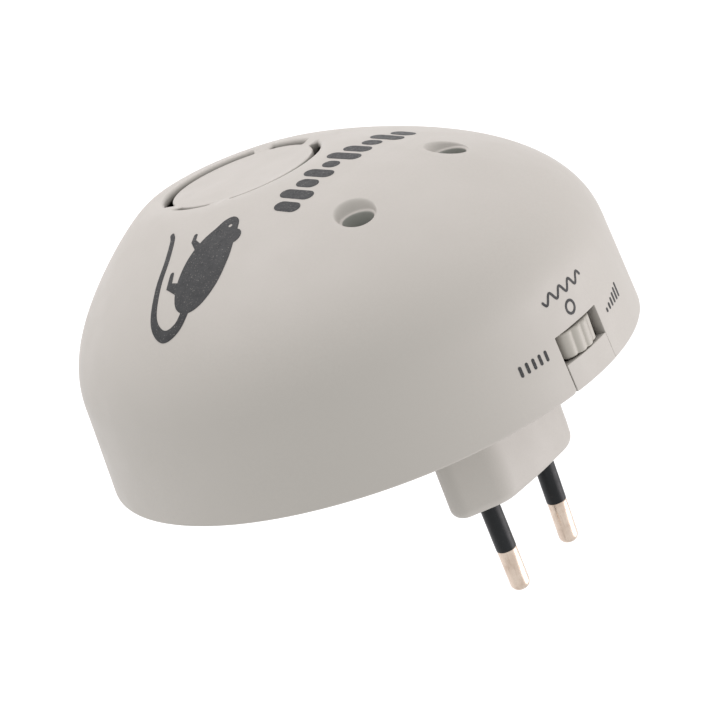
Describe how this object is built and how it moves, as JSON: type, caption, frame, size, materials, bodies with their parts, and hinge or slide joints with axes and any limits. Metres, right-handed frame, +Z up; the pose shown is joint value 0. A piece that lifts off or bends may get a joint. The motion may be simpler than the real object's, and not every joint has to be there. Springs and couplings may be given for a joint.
{
  "type": "ultrasonic pest repeller",
  "caption": "Plug-in ultrasonic pest repeller: domed plastic housing with a round sound outlet, recessed screw wells, a sliding mode switch and a two-pin mains plug block on its back.",
  "frame": {"origin": "centre of the plug block's seating face, between the two pins", "axes": "+Y along the pins into the wall socket, +Z up with the slide switch on top, +X right as seen from the room"},
  "size_m": [0.1072, 0.0876, 0.1104],
  "materials": {
    "housing_plastic": "fine moulded texture, warm light grey",
    "black_plastic": "satin black",
    "nickel": "pale nickel plate over brass",
    "steel": "zinc plated",
    "brass": "rolled sheet",
    "copper": "enamelled copper",
    "board_laminate": "paper phenolic board",
    "yellow_plastic": "moulded capacitor box",
    "capacitor_sleeve": "shrink sleeve",
    "ceramic_dip": "dipped ceramic",
    "ceramic_white": "matt fired ceramic",
    "resistor_lacquer": "tan lacquer",
    "diode_glass": "orange glass bead",
    "ferrite": "ground ferrite",
    "phenolic": "punched phenolic sheet",
    "foam": "closed-cell foam",
    "cone_plastic": "moulded cone",
    "red_pvc": "wire insulation",
    "blue_pvc": "wire insulation",
    "brown_pvc": "wire insulation"
  },
  "bodies": {
    "housing": {"front_shell": "housing_plastic", "back_cover": "housing_plastic", "plug_body": "housing_plastic", "plug_pin_left": "nickel", "pin_sleeve_left": "black_plastic", "plug_pin_right": "nickel", "pin_sleeve_right": "black_plastic", "housing_screw_left": "steel", "tweeter_screw_left": "steel", "housing_screw_right": "steel", "tweeter_screw_right": "steel", "main_board": "board_laminate", "board_screw_1": "steel", "board_screw_2": "steel", "board_screw_3": "steel", "board_screw_4": "steel", "film_capacitor": "yellow_plastic", "reservoir_capacitor": "capacitor_sleeve", "timing_capacitor": "capacitor_sleeve", "ceramic_capacitor": "ceramic_dip", "fusible_resistor": "ceramic_white", "bleed_resistor": "resistor_lacquer", "timing_resistor": "resistor_lacquer", "rectifier_diode_1": "black_plastic", "rectifier_diode_2": "black_plastic", "rectifier_diode_3": "black_plastic", "rectifier_diode_4": "black_plastic", "zener_diode": "diode_glass", "timer_chip": "black_plastic", "driver_transistor": "black_plastic", "transformer_core": "ferrite", "transformer_winding": "copper", "switch_frame": "steel", "switch_base": "phenolic", "switch_terminal_1": "nickel", "switch_terminal_2": "nickel", "switch_terminal_3": "nickel", "switch_terminal_4": "nickel", "tweeter_case": "black_plastic", "tweeter_foam_ring": "foam", "tweeter_plate": "brass", "tweeter_ceramic": "ceramic_white", "tweeter_cone": "cone_plastic", "mains_lead_left": "blue_pvc", "mains_lead_right": "brown_pvc", "tweeter_lead_left": "black_plastic", "tweeter_lead_right": "red_pvc"},
    "mode_switch": {"switch_knob": "housing_plastic", "switch_slider": "black_plastic", "switch_contact": "copper"}
  },
  "joints": [
    {"name": "mode_switch_slide", "type": "slide", "parent": "housing", "child": "mode_switch", "axis": [1, 0, 0], "range_m": [-0.0015, 0.0015]}
  ]
}
